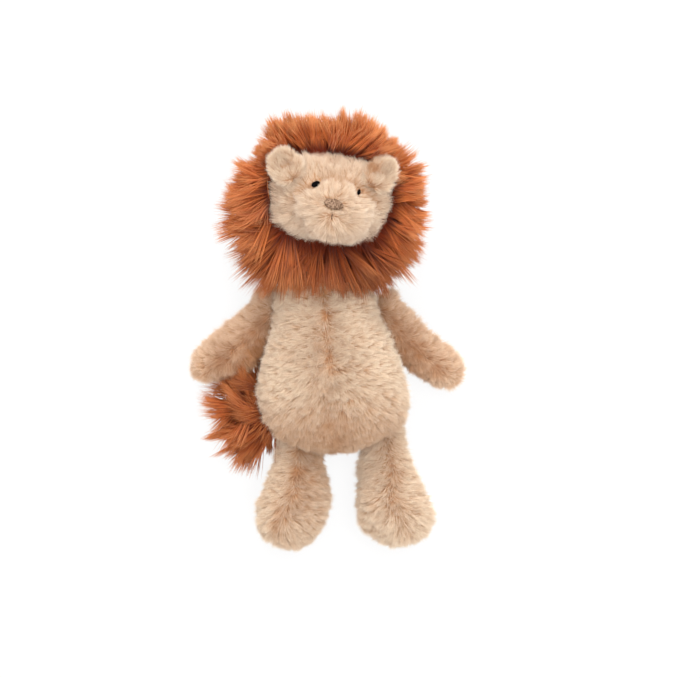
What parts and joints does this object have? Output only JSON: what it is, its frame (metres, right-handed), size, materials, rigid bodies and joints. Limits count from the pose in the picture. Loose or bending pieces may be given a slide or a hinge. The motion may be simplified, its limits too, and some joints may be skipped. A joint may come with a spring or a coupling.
{
  "type": "plush rattle",
  "caption": "Soft stuffed lion rattle with a shaggy mane, tufted tail and limbs that swing on their seams, lying on its back with a bead capsule inside its belly.",
  "frame": {"origin": "middle of the flat of the back, on which the toy lies", "axes": "+Z out of the belly and the face, +Y from the feet to the crown of the head, +X to the right of someone who looks down on the toy"},
  "size_m": [0.1787, 0.2799, 0.0924],
  "materials": {
    "short_plush": "matte",
    "pale_plush": "matte",
    "rust_fur": "matte",
    "dark_thread": "satin",
    "grey_thread": "satin",
    "wadding": "matte",
    "capsule_plastic": "satin",
    "bead_plastic": "gloss"
  },
  "bodies": {
    "torso": {"body_front_left": "short_plush", "body_front_right": "short_plush", "body_back": "short_plush", "body_wadding_front": "wadding", "body_wadding_back": "wadding", "capsule_upper": "capsule_plastic", "capsule_lower": "capsule_plastic"},
    "neck_band": {"neck_gather": "short_plush"},
    "head": {"head_face": "short_plush", "head_back": "short_plush", "head_wadding": "wadding", "neck_stub": "short_plush", "muzzle": "pale_plush", "eye_left": "dark_thread", "eye_right": "dark_thread", "nose": "grey_thread", "mouth_stitch": "grey_thread", "mane_crown": "rust_fur", "mane_left": "rust_fur", "mane_right": "rust_fur", "mane_bib": "rust_fur", "mane_back": "rust_fur"},
    "left_ear": {"ear_left": "short_plush"},
    "right_ear": {"ear_right": "short_plush"},
    "left_shoulder_band": {"arm_left_gather": "short_plush"},
    "left_arm": {"arm_left_upper_panel": "short_plush", "arm_left_lower_panel": "short_plush", "arm_left_wadding": "wadding"},
    "right_shoulder_band": {"arm_right_gather": "short_plush"},
    "right_arm": {"arm_right_upper_panel": "short_plush", "arm_right_lower_panel": "short_plush", "arm_right_wadding": "wadding"},
    "left_hip_band": {"leg_left_gather": "short_plush"},
    "left_leg": {"leg_left_inner_panel": "short_plush", "leg_left_outer_panel": "short_plush", "leg_left_wadding": "wadding"},
    "right_hip_band": {"leg_right_gather": "short_plush"},
    "right_leg": {"leg_right_inner_panel": "short_plush", "leg_right_outer_panel": "short_plush", "leg_right_wadding": "wadding"},
    "tail": {"tail_stem": "short_plush", "tail_tuft": "rust_fur"},
    "bead_1_body": {"bead_1": "bead_plastic"},
    "bead_2_body": {"bead_2": "bead_plastic"},
    "bead_3_body": {"bead_3": "bead_plastic"},
    "bead_4_body": {"bead_4": "bead_plastic"},
    "bead_5_body": {"bead_5": "bead_plastic"}
  },
  "joints": [
    {"name": "neck_turn", "type": "hinge", "parent": "torso", "child": "neck_band", "pos_m": [-0.004, 0.057, 0.036], "axis": [0, 1, 0], "range_deg": [-12, 12], "stiffness_Nm_per_rad": 0.1},
    {"name": "neck_nod", "type": "hinge", "parent": "neck_band", "child": "head", "pos_m": [-0.004, 0.057, 0.036], "axis": [1, 0, 0], "range_deg": [0, 12], "stiffness_Nm_per_rad": 0.1},
    {"name": "left_ear_flop", "type": "hinge", "parent": "head", "child": "left_ear", "pos_m": [-0.0235, 0.118, 0.07432], "axis": [0.766, 0.6428, 0], "range_deg": [0, 15], "stiffness_Nm_per_rad": 0.01},
    {"name": "right_ear_flop", "type": "hinge", "parent": "head", "child": "right_ear", "pos_m": [0.0245, 0.1125, 0.07314], "axis": [0.788, -0.6157, 0], "range_deg": [0, 15], "stiffness_Nm_per_rad": 0.01},
    {"name": "left_arm_spread", "type": "hinge", "parent": "torso", "child": "left_shoulder_band", "pos_m": [-0.04199, 0.02683, 0.0245], "axis": [0, 0, -1], "range_deg": [0, 25], "stiffness_Nm_per_rad": 0.05},
    {"name": "left_arm_lift", "type": "hinge", "parent": "left_shoulder_band", "child": "left_arm", "pos_m": [-0.04199, 0.02683, 0.0245], "axis": [-0.6225, 0.7826, 0], "range_deg": [0, 40], "stiffness_Nm_per_rad": 0.05},
    {"name": "right_arm_spread", "type": "hinge", "parent": "torso", "child": "right_shoulder_band", "pos_m": [0.03739, 0.02661, 0.0245], "axis": [0, 0, 1], "range_deg": [0, 25], "stiffness_Nm_per_rad": 0.05},
    {"name": "right_arm_lift", "type": "hinge", "parent": "right_shoulder_band", "child": "right_arm", "pos_m": [0.03739, 0.02661, 0.0245], "axis": [-0.6884, -0.7254, 0], "range_deg": [0, 40], "stiffness_Nm_per_rad": 0.05},
    {"name": "left_leg_spread", "type": "hinge", "parent": "torso", "child": "left_hip_band", "pos_m": [-0.02048, -0.04599, 0.02425], "axis": [0, 0, -1], "range_deg": [0, 15], "stiffness_Nm_per_rad": 0.05},
    {"name": "left_leg_lift", "type": "hinge", "parent": "left_hip_band", "child": "left_leg", "pos_m": [-0.02048, -0.04599, 0.02425], "axis": [-0.9954, 0.0958, 0], "range_deg": [0, 40], "stiffness_Nm_per_rad": 0.05},
    {"name": "right_leg_spread", "type": "hinge", "parent": "torso", "child": "right_hip_band", "pos_m": [0.03048, -0.04455, 0.02475], "axis": [0, 0, 1], "range_deg": [0, 15], "stiffness_Nm_per_rad": 0.05},
    {"name": "right_leg_lift", "type": "hinge", "parent": "right_hip_band", "child": "right_leg", "pos_m": [0.03048, -0.04455, 0.02475], "axis": [-0.9854, -0.1702, 0], "range_deg": [0, 40], "stiffness_Nm_per_rad": 0.05},
    {"name": "tail_lift", "type": "hinge", "parent": "torso", "child": "tail", "pos_m": [-0.03601, -0.03195, 0.011], "axis": [0, 1, 0], "range_deg": [0, 20], "stiffness_Nm_per_rad": 0.02},
    {"name": "bead_1_slide", "type": "slide", "parent": "torso", "child": "bead_1_body", "axis": [0, 0, 1], "range_m": [0, 0.0227]},
    {"name": "bead_2_slide", "type": "slide", "parent": "torso", "child": "bead_2_body", "axis": [0, 0, 1], "range_m": [0, 0.0227]},
    {"name": "bead_3_slide", "type": "slide", "parent": "torso", "child": "bead_3_body", "axis": [0, 0, 1], "range_m": [0, 0.0227]},
    {"name": "bead_4_slide", "type": "slide", "parent": "torso", "child": "bead_4_body", "axis": [0, 0, 1], "range_m": [0, 0.0227]},
    {"name": "bead_5_slide", "type": "slide", "parent": "torso", "child": "bead_5_body", "axis": [0, 0, 1], "range_m": [0, 0.0227]}
  ]
}
